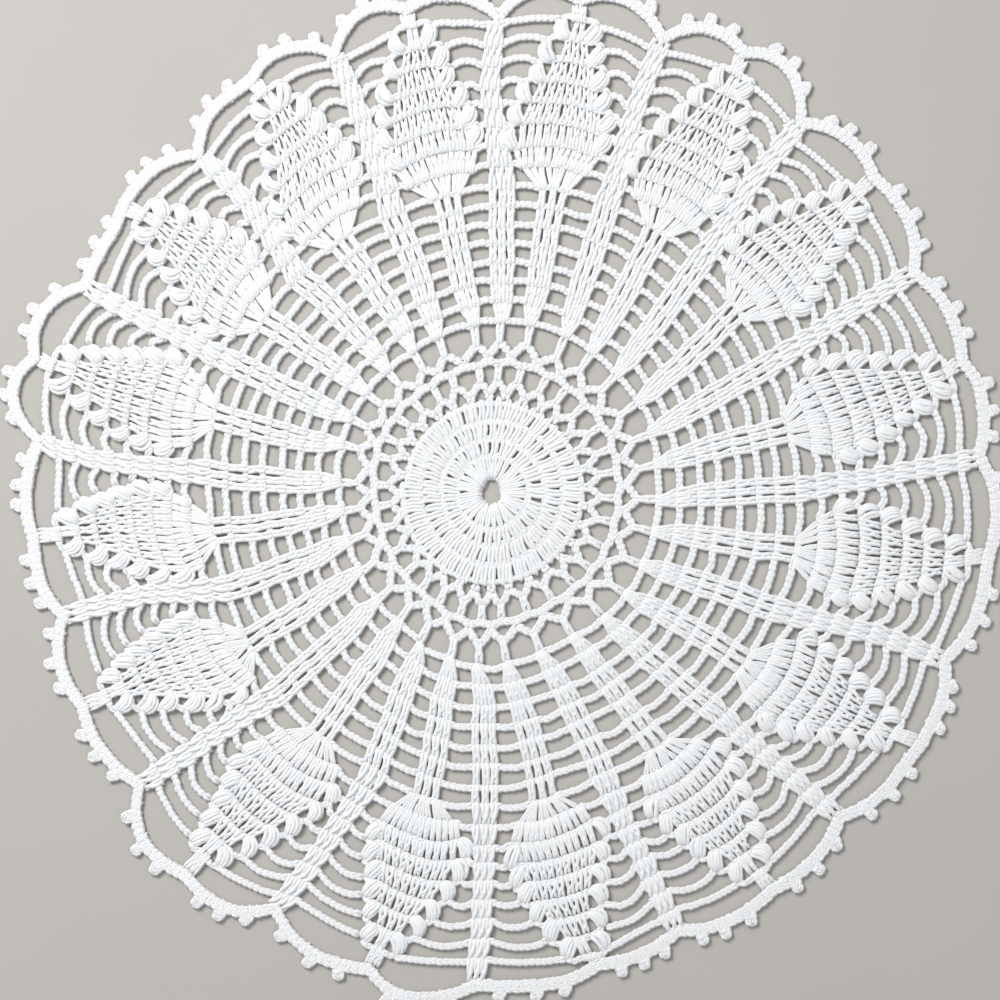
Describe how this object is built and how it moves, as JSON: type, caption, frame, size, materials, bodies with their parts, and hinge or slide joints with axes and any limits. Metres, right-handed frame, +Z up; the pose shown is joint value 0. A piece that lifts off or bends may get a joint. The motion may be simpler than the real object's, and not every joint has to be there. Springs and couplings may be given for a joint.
{
  "type": "lace doily",
  "caption": "Round white crocheted lace doily that lies flat, with pineapples and chain ladders between ribs about a netted centre, and a scalloped picot rim.",
  "frame": {"origin": "middle of the doily's box, on the surface it lies on", "axes": "+Z up out of the surface, +Y to the top of the reference view and +X to its right"},
  "size_m": [0.4594, 0.4712, 0.0024],
  "materials": {
    "white_cotton": "matt crochet cotton"
  },
  "bodies": {
    "root": {"doily": "white_cotton"}
  },
  "joints": []
}
